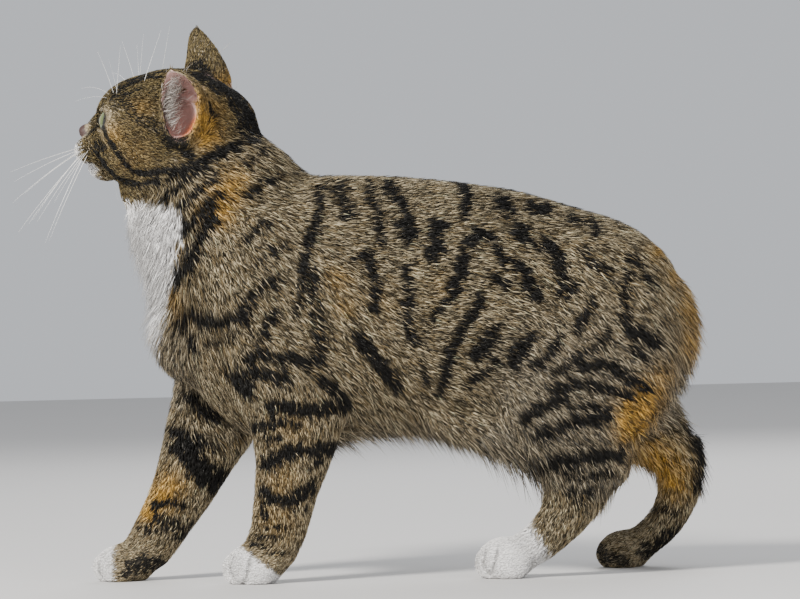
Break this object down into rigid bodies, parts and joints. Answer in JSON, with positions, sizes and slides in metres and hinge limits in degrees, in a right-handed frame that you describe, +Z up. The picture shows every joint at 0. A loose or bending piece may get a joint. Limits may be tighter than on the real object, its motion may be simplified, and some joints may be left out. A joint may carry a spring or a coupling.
{
  "type": "manx cat model",
  "caption": "Life-size still model of a tailless short-haired tabby cat in mid-stride, head raised and turned, standing on its paws.",
  "frame": {"origin": "centre of the bounding box at floor level, under the paws", "axes": "+X from the cat's head towards its rump, +Y towards its right side, +Z up"},
  "size_m": [0.4552, 0.183, 0.3669],
  "materials": {
    "tabby_coat": "matt short fur, brown mackerel tabby",
    "white_coat": "matt short white fur",
    "ear_skin": "thin soft skin, pink inside, short fur on the back",
    "nose_leather": "fine pebbled, slightly moist",
    "eye": "clear and wet, green-gold iris"
  },
  "bodies": {
    "root": {"chest": "tabby_coat", "head": "tabby_coat", "jaw": "tabby_coat", "left_ear": "ear_skin", "left_eye": "eye", "left_foreleg": "tabby_coat", "left_forepaw": "white_coat", "left_hind_foot": "tabby_coat", "left_hind_paw": "white_coat", "left_thigh": "tabby_coat", "left_whisker_pad": "white_coat", "loin": "tabby_coat", "neck": "tabby_coat", "nose": "nose_leather", "right_ear": "ear_skin", "right_eye": "eye", "right_foreleg": "tabby_coat", "right_forepaw": "white_coat", "right_hind_foot": "tabby_coat", "right_hind_paw": "tabby_coat", "right_thigh": "tabby_coat", "right_whisker_pad": "white_coat", "rump": "tabby_coat"}
  },
  "joints": []
}
